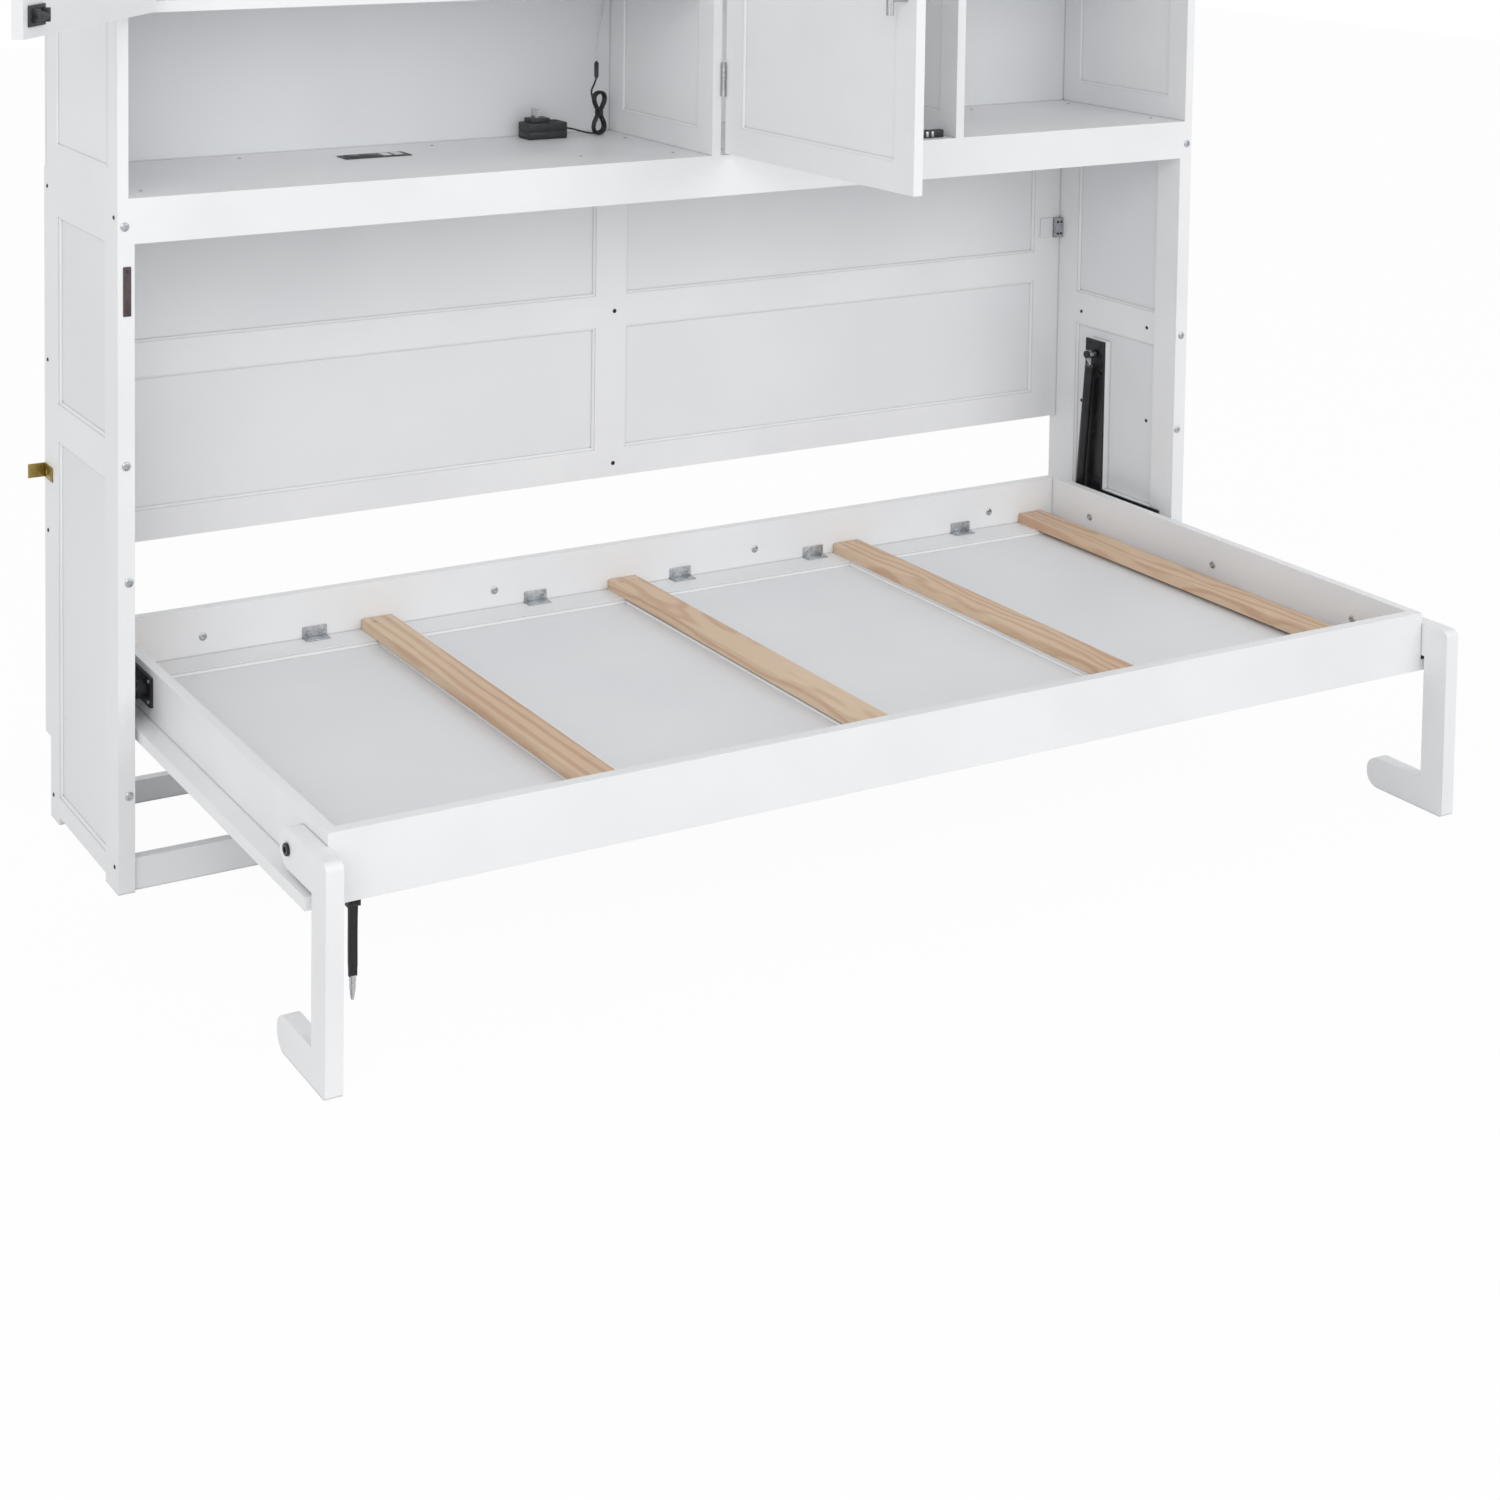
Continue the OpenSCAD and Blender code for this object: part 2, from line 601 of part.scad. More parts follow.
module leg_left() color("whitesmoke") at_origin() leg();
module leg_right() color("whitesmoke") at_origin() mirrored() leg();

// ---------- Gas springs ----------

spring_v = spring_foot - spring_top;
// The lower eye's place when the bed is folded up: turned by the bed's swing about the pivot
foot_arm = spring_foot - pivot;
spring_shut = pivot + [foot_arm[0] * cos(bed_swing) + foot_arm[1] * sin(bed_swing),
                       foot_arm[1] * cos(bed_swing) - foot_arm[0] * sin(bed_swing)];
spring_len = norm(spring_v);
spring_tilt = atan2(spring_v[0], -spring_v[1]);
eye_r = 9;
spring_stroke = norm(spring_shut - spring_top) - spring_len;
// Draws in the spring's own frame: Z runs from the upper eye down to the lower one
module along_spring()
    translate([spring_x, spring_top[0], spring_top[1]]) rotate([180 + spring_tilt, 0, 0])
        children();
module spring_rod() along_spring() difference() {
    union() {
        rotate([0, 90, 0]) cylinder(r = eye_r, h = eye_w, center = true);
        cylinder(d = rod_d, h = 20 + spring_stroke + 25);
    }
    rotate([0, 90, 0]) cylinder(r = eye_bolt_r + run, h = eye_w + 2, center = true);
}
module spring_rods() color("silver") at_origin() both() spring_rod();

// Cylinder, hollow for the rod, with its lower eye
module spring_cylinder() along_spring() difference() {
    union() {
        translate([0, 0, 20]) cylinder(d = spring_d, h = spring_l);
        translate([0, 0, spring_len]) rotate([0, 90, 0])
            cylinder(r = eye_r, h = eye_w, center = true);
        translate([0, 0, 15 + spring_l]) cylinder(d = 12, h = spring_len - spring_l - 20);
    }
    translate([0, 0, 19]) cylinder(r = rod_d / 2 + run, h = spring_l - 10);
    translate([0, 0, spring_len]) rotate([0, 90, 0])
        cylinder(r = eye_bolt_r, h = eye_w + 2, center = true);
}
module spring_cylinders() color("black") at_origin() both() spring_cylinder();

// ---------- Safety strap ----------

strap_z = face_z - 8;
module strap_staple() color("black") at_origin() {
    for (x = [strap_x - strap_w / 2 - 3.3, strap_x + strap_w / 2 + 0.3])
        board([x, strap_y - 5, strap_z - 4], [x + 3, strap_y + 5, face_z]);
    bar_x(strap_x - strap_w / 2 - 3, strap_y, strap_z, 2, strap_w + 6);
}
module safety_strap() color("black") at_origin() difference() {
    union() {
        bar_x(strap_x - strap_w / 2, strap_y, strap_z, 5, strap_w);
        board([strap_x - strap_w / 2, strap_y - strap_t / 2, 128],
              [strap_x + strap_w / 2, strap_y + strap_t / 2, strap_z]);
        translate([strap_x, strap_y, 96]) cylinder(r1 = 2, r2 = 5, h = 33);
    }
    bar_x(strap_x - strap_w, strap_y, strap_z, 2 + run, 2 * strap_w);
}

side_left_frame();
side_right_frame();
side_panels();
fixed_shelf();
apron();
floor_rails();
back_frame();
back_panels();
hutch_sides();
hutch_uprights();
hutch_back();
hutch_top();
cupboard_bottom();
cupboard_uprights();
column_shelves();
middle_door();
middle_door_handle();
middle_door_leaves();
middle_door_hinges();
left_door();
left_door_handle();
left_door_leaves();
left_door_hinges();
middle_door_catch();
left_door_catch();
power_strip();
adapter();
adapter_pins();
adapter_lead();
lead_hank();
connector_lead();
barrel_connector();
led_lead();
wall_brackets();
corner_brackets();
leg_stops();
strike_plate();
cabinet_bolts();
pivot_plates();
plate_packing();
spring_bolts();
pivot_pins();
end_rail_left();
end_rail_right();
front_rail();
back_rail();
face_frame();
deck_panels();
slats();
angle_brackets();
bed_screws();
bed_plates();
leg_bolts();
leg_pads();
leg_left();
leg_right();
spring_rods();
spring_cylinders();
strap_staple();
safety_strap();
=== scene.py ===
"""Horizontal wall bed with a hutch: finishes, fastenings and small fittings."""
from math import cos, pi, radians, sin

import bmesh
import bpy
from mathutils import Matrix, Vector


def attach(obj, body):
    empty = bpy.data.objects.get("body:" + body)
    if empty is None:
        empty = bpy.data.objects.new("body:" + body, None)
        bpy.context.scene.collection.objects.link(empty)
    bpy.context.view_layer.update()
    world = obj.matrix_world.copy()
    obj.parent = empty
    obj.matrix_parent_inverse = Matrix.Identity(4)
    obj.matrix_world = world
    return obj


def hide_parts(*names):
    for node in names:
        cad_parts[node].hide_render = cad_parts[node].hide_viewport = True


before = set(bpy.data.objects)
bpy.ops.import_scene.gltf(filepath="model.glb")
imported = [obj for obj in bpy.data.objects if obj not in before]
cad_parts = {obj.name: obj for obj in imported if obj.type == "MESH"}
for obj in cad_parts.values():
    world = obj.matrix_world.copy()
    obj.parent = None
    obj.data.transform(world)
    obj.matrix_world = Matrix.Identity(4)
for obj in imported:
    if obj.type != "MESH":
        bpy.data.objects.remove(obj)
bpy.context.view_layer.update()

MM = 0.001


# ---------- Places, in the cabinet maker's own frame ----------

# Cabinet: width, front face of the back, upper face of the fixed shelf, in millimetres
CAB_W = 2200
BACK_Y = 352
SHELF_TOP = 1108
# Bed: underside of the rails, inner face of the back rail, upper face of the slats
RAIL_Z = 259
BACK_RAIL_Y = 279
SLAT_TOP = 277
# The shared frame starts at the cabinet's middle, this far behind its front plane
FRAME_Y = 17


def at(x, y, z):
    """Millimetres from the cabinet's left face, its front plane and the floor."""
    return Vector(((x - CAB_W / 2) * MM, (y - FRAME_Y) * MM, z * MM))


def door_place(x, y, open_angle):
    """A door's own frame: its hinge line at x, y, turned open by an angle in degrees."""
    return Matrix.Translation(at(x, y, 0)) @ Matrix.Rotation(radians(-open_angle), 4, "Z")


def facing(point, direction):
    """A frame at a point whose Z looks along a direction."""
    turn = Vector(direction).to_track_quat("Z", "Y").to_matrix().to_4x4()
    return Matrix.Translation(point) @ turn


# ---------- Camera ----------

CAMERA_AT = at(-1275.5, -3635.7, 1758.6)
# Radians: turned to the right, dipped towards the floor, and rolled
TURN, DIP, ROLL = 0.4670, 0.0617, 0.0066
camera_data = bpy.data.cameras.new("camera")
camera_data.lens = 59.66
camera_data.sensor_width = 36
camera_data.shift_x = 0.2064
camera_data.shift_y = -0.5435
camera = bpy.data.objects.new("camera", camera_data)
ahead = Vector((sin(TURN) * cos(DIP), cos(TURN) * cos(DIP), -sin(DIP)))
level = Vector((cos(TURN), -sin(TURN), 0))
upright = level.cross(ahead)
side = level * cos(ROLL) + upright * sin(ROLL)
top = upright * cos(ROLL) - level * sin(ROLL)
gaze = Matrix((side, top, -ahead)).transposed().to_4x4()
camera.matrix_world = Matrix.Translation(CAMERA_AT) @ gaze
bpy.context.scene.collection.objects.link(camera)
bpy.context.scene.camera = camera
bpy.context.scene.view_settings.view_transform = "Standard"


# ---------- Materials ----------

def colour(text):
    """sRGB hex to the linear values that shaders take."""
    parts = [int(text[i:i + 2], 16) / 255 for i in (0, 2, 4)]
    return [c / 12.92 if c <= 0.04045 else ((c + 0.055) / 1.055) ** 2.4 for c in parts] + [1]


def add(tree, kind, settings=None, links=None):
    """Adds a node, sets its properties, and sets or links its inputs."""
    made = tree.nodes.new(kind)
    for name, value in (settings or {}).items():
        setattr(made, name, value)
    for name, value in (links or {}).items():
        if isinstance(value, bpy.types.NodeSocket):
            tree.links.new(value, made.inputs[name])
        else:
            made.inputs[name].default_value = value
    return made


# Painted shade along a joint, laid by an ambient occlusion node: it reaches this many
# millimetres from the joint, and fades out between these two shares of open air
SEAM_SHADE_REACH = 5
SEAM_SHADE_DARK, SEAM_SHADE_CLEAR = 0.4, 0.85


def surface(name, tones, pattern, rough, bump, shader=None, seam_shade=None):
    """A material whose colour, roughness and bump follow one pattern.

    tones are two hex colours, pattern is a function that adds its nodes and returns the
    tone and the height outputs, rough is (least, most) and bump is a depth in millimetres.
    The last argument is the hex colour of painted shade, which an ambient occlusion node lays
    where boards meet.
    """
    made = bpy.data.materials.new(name)
    made.use_nodes = True
    tree = made.node_tree
    shade = tree.nodes["Principled BSDF"]
    where = add(tree, "ShaderNodeTexCoord").outputs["Object"]
    tone, height = pattern(tree, where)
    skin = add(tree, "ShaderNodeMix", {"data_type": "RGBA"},
               {"Factor": tone, 6: colour(tones[0]), 7: colour(tones[1])}).outputs[2]
    if seam_shade:
        # Painted shade: where other surfaces lie within reach, the colour is darkened towards
        # the grey of the joints
        near = add(tree, "ShaderNodeAmbientOcclusion", {"samples": 8},
                   {"Distance": SEAM_SHADE_REACH * MM})
        clear = add(tree, "ShaderNodeMapRange", None,
                    {"Value": near.outputs["AO"], "From Min": SEAM_SHADE_DARK, "From Max": SEAM_SHADE_CLEAR})
        skin = add(tree, "ShaderNodeMix", {"data_type": "RGBA"},
                   {"Factor": clear.outputs[0], 6: colour(seam_shade), 7: skin}).outputs[2]
    tree.links.new(skin, shade.inputs["Base Color"])
    gloss = add(tree, "ShaderNodeMapRange", None,
                {"Value": tone, "To Min": rough[0], "To Max": rough[1]})
    tree.links.new(gloss.outputs[0], shade.inputs["Roughness"])
    raised = add(tree, "ShaderNodeBump", None,
                 {"Strength": 1.0, "Distance": bump * MM, "Height": height})
    tree.links.new(raised.outputs[0], shade.inputs["Normal"])
    for key, value in (shader or {}).items():
        shade.inputs[key].default_value = value
    return made


def mottle(tree, where, size_mm, detail=2, stretch=(1, 1, 1), spread=None):
    """Blotches about size_mm across; stretch above 1 draws them out along an axis.

    spread is the middle part of their range, which is then drawn out over 0 to 1.
    """
    scaled = add(tree, "ShaderNodeMapping", None,
                 {"Vector": where, "Scale": [1 / (size_mm * MM * s) for s in stretch]})
    blotch = add(tree, "ShaderNodeTexNoise", None,
                 {"Vector": scaled.outputs[0], "Scale": 1.0, "Detail": detail})
    if not spread:
        return blotch.outputs[0]
    drawn = add(tree, "ShaderNodeMapRange", None,
                {"Value": blotch.outputs[0], "From Min": spread[0], "From Max": spread[1]})
    return drawn.outputs[0]


def rolled_paint(tree, where):
    """Cloudy tone a hand wide, over the 3 mm stipple that a roller leaves."""
    return mottle(tree, where, 260, 3, spread=(0.3, 0.7)), mottle(tree, where, 3, 3)


def sprayed_board(tree, where):
    """Thin board with broad soft clouds in the paint, and a fine stipple."""
    return mottle(tree, where, 420, 2, spread=(0.25, 0.75)), mottle(tree, where, 2, 2)


def pine_figure(tree, where):
    """Growth rings that run along Y and open into long arches, with fine fibres between."""
    bend = mottle(tree, where, 130, 3, (1, 4, 1))
    drawn_out = add(tree, "ShaderNodeMapping", None, {"Vector": where, "Scale": (1, 0.03, 1)})
    shift = add(tree, "ShaderNodeVectorMath", {"operation": "SCALE"}, {0: bend, "Scale": 0.1})
    moved = add(tree, "ShaderNodeVectorMath", {"operation": "ADD"},
                {0: drawn_out.outputs[0], 1: shift.outputs[0]})
    # The wave repeats every pi / 10 of scaled length, so 17 sets the rings 18.5 mm apart
    rings = add(tree, "ShaderNodeTexWave", {"wave_type": "RINGS", "rings_direction": "Y"},
                {"Vector": moved.outputs[0], "Scale": 17.0, "Distortion": 3.5, "Detail": 3.0,
                 "Detail Scale": 1.2})
    fibre = mottle(tree, where, 1.2, 3, (1, 40, 1), (0.3, 0.75))
    plank = mottle(tree, where, 300, 1, (1, 3, 1), (0.3, 0.7))
    late_wood = add(tree, "ShaderNodeMapRange", None,
                    {"Value": rings.outputs["Fac"], "From Min": 0.35, "From Max": 1.1})
    grain = add(tree, "ShaderNodeMix", {"data_type": "FLOAT"},
                {"Factor": 0.3, 2: late_wood.outputs[0], 3: fibre})
    tone = add(tree, "ShaderNodeMix", {"data_type": "FLOAT"},
               {"Factor": 0.35, 2: grain.outputs[0], 3: plank})
    return tone.outputs[0], fibre


def worn_metal(tree, where):
    """Handling marks a few centimetres across over a 0.6 mm grit."""
    return mottle(tree, where, 22, 4, spread=(0.35, 0.7)), mottle(tree, where, 0.6, 2)


def drawn_bar(tree, where):
    """Fine lines that run up the bar, as drawing leaves them, drawn 0.7 mm coarse to show."""
    lines = mottle(tree, where, 0.7, 2, (1, 1, 30))
    tone = add(tree, "ShaderNodeMapRange", None,
               {"Value": lines, "From Min": 0.3, "From Max": 0.7})
    return tone.outputs[0], lines


def zinc_spangle(tree, where):
    """Zinc crystals about 5 mm across, each with its own tone."""
    per_metre = 1 / (5 * MM)
    scaled = add(tree, "ShaderNodeMapping", None, {"Vector": where, "Scale": [per_metre] * 3})
    cell = add(tree, "ShaderNodeTexVoronoi", None, {"Vector": scaled.outputs[0], "Scale": 1.0})
    tone = add(tree, "ShaderNodeMapRange", None,
               {"Value": cell.outputs["Distance"], "From Min": 0.0, "From Max": 0.9})
    return tone.outputs[0], mottle(tree, where, 1, 2)


def moulded_grain(tree, where):
    """The fine spark-eroded grain of moulded plastic, drawn 0.8 mm coarse so it shows."""
    return mottle(tree, where, 14, 2, spread=(0.3, 0.7)), mottle(tree, where, 0.8, 2)


def woven_band(tree, where):
    """Warp ribs 1.2 mm apart across the band, crossed by the weft every 1.6 mm."""
    scaled = add(tree, "ShaderNodeMapping", None, {"Vector": where, "Scale": (830, 1, 620)})
    ribs = add(tree, "ShaderNodeTexChecker", None, {"Vector": scaled.outputs[0], "Scale": 1.0})
    return mottle(tree, where, 6, 3, spread=(0.3, 0.7)), ribs.outputs["Fac"]


# Water-based satin paint, rolled on pine: a soft sheen, a faint stipple, and painted shade in
# the joints
white_paint = surface("satin_white_paint", ("E9EAEC", "F0F1F2"), rolled_paint,
                      (0.36, 0.46), 0.05, seam_shade="BCBDBF")
# The same paint sprayed on thin board: flatter, a trace cooler, with the same painted shade in
# the joints
board_paint = surface("sprayed_white_board", ("E4E6E9", "ECEEF0"), sprayed_board,
                      (0.42, 0.52), 0.03, seam_shade="BCBDBF")
# Planed pine without finish: pale beige wood with tan late-wood lines
pine = surface("planed_pine", ("E6CFB3", "BF9374"), pine_figure, (0.5, 0.62), 0.12)
# Bronzed steel: dark brown with a purple cast and worn patches
bronzed_steel = surface("bronzed_steel", ("3A3032", "54484A"), worn_metal, (0.35, 0.5), 0.03)
# Stove enamel on steel plate: near black, with a dull sheen and rubbed patches
black_steel = surface("black_enamelled_steel", ("111214", "1E1F22"), worn_metal,
                      (0.32, 0.5), 0.03, {"IOR": 1.5})
# Drawn and polished steel bar: bright, with fine lines along it
steel_bar = surface("drawn_steel_bar", ("A9ABAE", "C9CBCD"), drawn_bar, (0.18, 0.3), 0.01,
                    {"Metallic": 1.0})
# Bright zinc plate: grey crystals with a cool shine
bright_zinc = surface("galvanised_steel", ("9DA1A5", "C6C9CC"), zinc_spangle, (0.28, 0.42), 0.02,
                      {"Metallic": 1.0})
# Yellow passivated zinc: gold with olive clouds and a soft shine
yellow_zinc = surface("yellow_zinc", ("A8904E", "857A48"), worn_metal, (0.3, 0.42), 0.02,
                      {"Metallic": 1.0})
# ABS housing: black, finely grained
black_abs = surface("black_abs", ("232426", "313235"), moulded_grain, (0.4, 0.52), 0.04,
                    {"IOR": 1.54})
# Soft vinyl cable sheath: black and a little shinier than the housing
black_vinyl = surface("black_vinyl_sheath", ("0E0E10", "161618"), moulded_grain,
                      (0.34, 0.44), 0.02, {"IOR": 1.53})
# Moulded ABS of the charging ports: warm white with a low sheen
white_plastic = surface("white_abs", ("E4E4E2", "D9DAD9"), moulded_grain, (0.35, 0.48), 0.03,
                        {"IOR": 1.54})
# Vinyl sheath of the light's thin lead: soft warm white
white_vinyl = surface("white_vinyl_sheath", ("E2E2DF", "D6D6D2"), moulded_grain,
                      (0.38, 0.48), 0.02, {"IOR": 1.53})
# Moulded rubber: dull black
rubber = surface("black_rubber", ("151515", "202020"), moulded_grain, (0.7, 0.85), 0.05)
# Woven polyester band: black with a fine rib
webbing = surface("black_polyester_webbing", ("0F0F11", "1A1A1D"), woven_band, (0.75, 0.9), 0.25,
                  {"Sheen Weight": 0.25})


# ---------- Mesh tools ----------

# Points of a turned circle, and the angle from which an edge is drawn sharp
CIRCLE = 24
SHARP = radians(35)


def loft(mesh, rings, close=False):
    """Skins rings of equal length; close joins the last to the first instead of capping."""
    rows = [[mesh.verts.new(p) for p in ring] for ring in rings]
    pairs = list(zip(rows, rows[1:])) + ([(rows[-1], rows[0])] if close else [])
    for a, b in pairs:
        for i in range(len(a)):
            j = (i + 1) % len(a)
            mesh.faces.new((a[i], a[j], b[j], b[i]))
    if not close:
        mesh.faces.new(list(reversed(rows[0])))
        mesh.faces.new(rows[-1])


def ring(radius, sides=0):
    """Points of a circle, or of a polygon whose flats touch that circle."""
    points = []
    for i in range(CIRCLE):
        a = 2 * pi * i / CIRCLE
        reach = radius
        if sides:
            half = pi / sides
            reach = radius / cos((a % (2 * half)) - half)
        points.append((reach * cos(a), reach * sin(a)))
    return points


def turned(mesh, place, profile):
    """Turns a profile of (radius, height[, sides]) in millimetres about a frame's Z."""
    rings = []
    for step in profile:
        flat = ring(step[0] * MM, step[2] if len(step) > 2 else 0)
        rings.append([place @ Vector((x, y, step[1] * MM)) for x, y in flat])
    loft(mesh, rings)


def block(mesh, low, high, place=None, ease=0.6):
    """A box from corner to corner in millimetres, with its edges eased."""
    part = bmesh.new()
    bmesh.ops.create_cube(part, size=1)
    size = Vector(high) - Vector(low)
    for v in part.verts:
        v.co = Vector([low[i] + (v.co[i] + 0.5) * size[i] for i in range(3)]) * MM
    ease = min(ease, 0.3 * min(size))
    bmesh.ops.bevel(part, geom=part.edges[:] + part.verts[:], offset=ease * MM, segments=2,
                    affect="EDGES", profile=0.5)
    if place is not None:
        part.transform(place)
    keep = bpy.data.meshes.new("part")
    part.to_mesh(keep)
    part.free()
    mesh.from_mesh(keep)
    bpy.data.meshes.remove(keep)


def piece(name, mesh, finish, body, replaces=()):
    """Makes an object from a mesh, with a finish, and hangs it on a body."""
    bmesh.ops.recalc_face_normals(mesh, faces=mesh.faces[:])
    data = bpy.data.meshes.new(name)
    mesh.to_mesh(data)
    mesh.free()
    made = bpy.data.objects.new(name, data)
    bpy.context.scene.collection.objects.link(made)
    data.materials.append(finish)
    for face in data.polygons:
        face.use_smooth = True
    data.set_sharp_from_angle(angle=SHARP)
    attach(made, body)
    if replaces:
        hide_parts(*replaces)
    return made


CABINET = Matrix.Translation(at(0, 0, 0))


# ---------- Cords ----------

CORD_D = 3.4 * MM
LED_D = 3 * MM


def cord_curve(name, points, diameter, finish):
    """One open spline with a round section."""
    data = bpy.data.curves.new(name, "CURVE")
    data.dimensions = "3D"
    data.bevel_depth = diameter / 2
    data.bevel_resolution = 3
    data.use_fill_caps = True
    line = data.splines.new("POLY")
    line.points.add(len(points) - 1)
    for made, point in zip(line.points, points):
        made.co = (*point, 1)
    data.materials.append(finish)
    made = bpy.data.objects.new(name, data)
    bpy.context.scene.collection.objects.link(made)
    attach(made, "cabinet")
    return made


def smooth_route(corners, steps):
    """Points of a smooth curve through the corners."""
    points = []
    for i in range(len(corners) - 1):
        a = corners[max(i - 1, 0)]
        b, c = corners[i], corners[i + 1]
        d = corners[min(i + 2, len(corners) - 1)]
        for k in range(steps):
            t = k / steps
            points.append(0.5 * (2 * b + (c - a) * t + (2 * a - 5 * b + 4 * c - d) * t * t
                                 + (3 * b - a - 3 * c + d) * t ** 3))
    return points + [corners[-1]]


# The lead's hank: figure-of-eight turns that stand upright, tied where they cross
HANK_MIDDLE = (1042, 305, 1150)
HANK_TURNS = 6
HANK_STEPS = 24
# Steps beyond the last full turn, up to where the lead leaves the hank
HANK_TAIL = 10
# Half the hank's height, its width, and the depth from one turn to the next
HANK_HALF = 40
HANK_SPREAD = 29
HANK_PITCH = 2.15
# Each turn away from the middle one is this much narrower and this much lower
HANK_NARROWS, HANK_LOWERS = 2.4, 1.2
# The hank sits this share of a turn's depth in front of its middle
HANK_FORWARD = 0.25
hank_points = []
for i in range(HANK_TURNS * HANK_STEPS + HANK_TAIL):
    angle = pi + 2 * pi * i / HANK_STEPS
    turn = i / HANK_STEPS
    from_middle = abs(turn - HANK_TURNS / 2)
    out = (HANK_SPREAD - HANK_NARROWS * from_middle) / 2 * sin(2 * angle)
    deep = (turn - HANK_TURNS / 2 - HANK_FORWARD) * HANK_PITCH
    up = (HANK_HALF - HANK_LOWERS * from_middle) * cos(angle)
    hank_points.append(at(HANK_MIDDLE[0] + out, HANK_MIDDLE[1] + deep, HANK_MIDDLE[2] + up))
# From the adapter's boot to the hank, and from the hank to the connector
lead_in = [at(*p) for p in ((978, 317, 1123), (984, 317, 1122.6), (994, 314, 1120.5),
                            (1006, 307, 1117), (1022, 300, 1113.4))] + [hank_points[0]]
lead_out = [hank_points[-1]] + [at(*p) for p in ((1030.5, 313.5, 1190), (1038, 316.5, 1202),
                                                 (1043, 318, 1213))]
lead_points = smooth_route(lead_in, 5)[:-1] + hank_points + smooth_route(lead_out, 5)[1:]
lead = cord_curve("adapter_cable", lead_points, CORD_D, black_vinyl)
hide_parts("adapter_lead", "lead_hank", "connector_lead")

# The light's lead: from the connector up to the cupboard's floor
led_corners = [at(*p) for p in ((1043, 318, 1243), (1044, 321, 1254), (1049, 328, 1275),
                                (1058, 337, 1300), (1069, 343, 1330), (1076, 346, 1362),
                                (1076, 346, 1396))]
led_points = smooth_route(led_corners, 6)
led = cord_curve("light_cable", led_points, LED_D, white_vinyl)
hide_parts("led_lead")

# Tie: a flat wrap of three turns at the hank's waist, oval as the cords under it
TIE_HALF_X, TIE_HALF_Y = 5.6, 9.4
# Section of one turn: reach as a share of the oval, and height in millimetres
TIE_SECTION = ((1.0, 0), (1.12, 0.2), (1.16, 1.3), (1.12, 2.4), (1.0, 2.6), (0.92, 1.3))
tie_mesh = bmesh.new()
tie_place = Matrix.Translation(at(*HANK_MIDDLE))
for low in (-4.2, -1.4, 1.4):
    loft(tie_mesh, [[tie_place @ (Vector((reach * TIE_HALF_X * x, reach * TIE_HALF_Y * y,
                                          low + z)) * MM) for x, y in ring(1)]
                    for reach, z in TIE_SECTION], close=True)
tie = piece("cable_tie", tie_mesh, black_vinyl, "cabinet")

# Connector: a ribbed barrel with a collar at each end
RIB_PITCH = 2.6
barrel_mesh = bmesh.new()
profile = [(2.3, 0), (3.0, 0.4), (3.3, 3), (4.3, 4.5)]
for i in range(6):
    profile += [(radius, height + RIB_PITCH * i)
                for radius, height in ((4.4, 6), (3.9, 6.9), (3.9, 7.6), (4.4, 8.4))]
profile += [(4.4, 25), (4.4, 28), (3.4, 29.2), (2.4, 30), (1.9, 32)]
turned(barrel_mesh, Matrix.Translation(at(1043, 318, 1212)), profile)
barrel = piece("cable_barrel", barrel_mesh, black_abs, "cabinet",
               replaces=("barrel_connector",))


# ---------- Finishes of the modelled boards ----------

def finish_node(names, finish, ease=0.0):
    """Gives CAD boards their material, and rounds their arrises by ease millimetres."""
    for name in names:
        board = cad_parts[name]
        board.data.materials.clear()
        board.data.materials.append(finish)
        if ease:
            rounded = board.modifiers.new("eased_arris", "BEVEL")
            rounded.width = ease * MM
            rounded.segments = 2
            rounded.limit_method = "ANGLE"
            rounded.angle_limit = radians(40)
            rounded.harden_normals = True


finish_node(("fixed_shelf", "apron", "front_rail", "face_frame"), white_paint, 2.2)
finish_node(("side_left_frame", "side_right_frame", "floor_rails",
             "back_frame", "hutch_sides", "hutch_uprights", "hutch_top", "cupboard_bottom",
             "cupboard_uprights", "column_shelves", "middle_door", "left_door"),
            white_paint, 1.2)
finish_node(("end_rail_left", "end_rail_right", "back_rail"), white_paint, 1.6)
finish_node(("leg_left", "leg_right"), white_paint, 2.5)
finish_node(("plate_packing",), white_paint)
finish_node(("side_panels", "back_panels", "hutch_back", "deck_panels", "leg_stops"),
            board_paint)
finish_node(("slats",), pine, 1.8)
finish_node(("pivot_plates", "bed_plates"), black_steel, 0.6)
finish_node(("spring_bolts", "spring_cylinders", "strap_staple"), black_steel, 0.4)
finish_node(("middle_door_leaves", "middle_door_hinges", "left_door_leaves",
             "left_door_hinges"), bright_zinc, 0.4)
finish_node(("middle_door_handle", "left_door_handle"), steel_bar, 0.8)
finish_node(("pivot_pins", "spring_rods"), steel_bar, 0.4)
finish_node(("corner_brackets",), bright_zinc, 0.5)
finish_node(("leg_pads",), rubber, 0.8)
finish_node(("adapter_pins",), steel_bar, 0.3)


# ---------- Fastenings ----------

def cap_head(mesh, point, out):
    """Low domed bolt head, 14 mm across, with a hexagon socket, standing off a face."""
    turned(mesh, facing(point, out),
           [(7, -0.6), (7, 0.8), (6.02, 1.6), (4.62, 2), (3.5, 2, 6), (3.36, 0.4, 6)])


def screw_head(mesh, point, out, radius):
    """Round screw head with a cross recess, drawn as a small square socket."""
    turned(mesh, facing(point, out),
           [(radius, -0.5), (radius, 0.5), (radius * 0.8, 1.3), (radius * 0.42, 1.6),
            (radius * 0.38, 1.6, 4), (radius * 0.25, 0.4, 4)])


def flush_screw(mesh, point, out, radius):
    """Countersunk screw, its head level with the plate, with a square drive."""
    turned(mesh, facing(point, out),
           [(radius, -0.2), (radius, 0.06), (radius * 0.9, 0.12), (radius * 0.4, 0.12),
            (radius * 0.4, 0.12, 4), (radius * 0.3, -0.1, 4)])


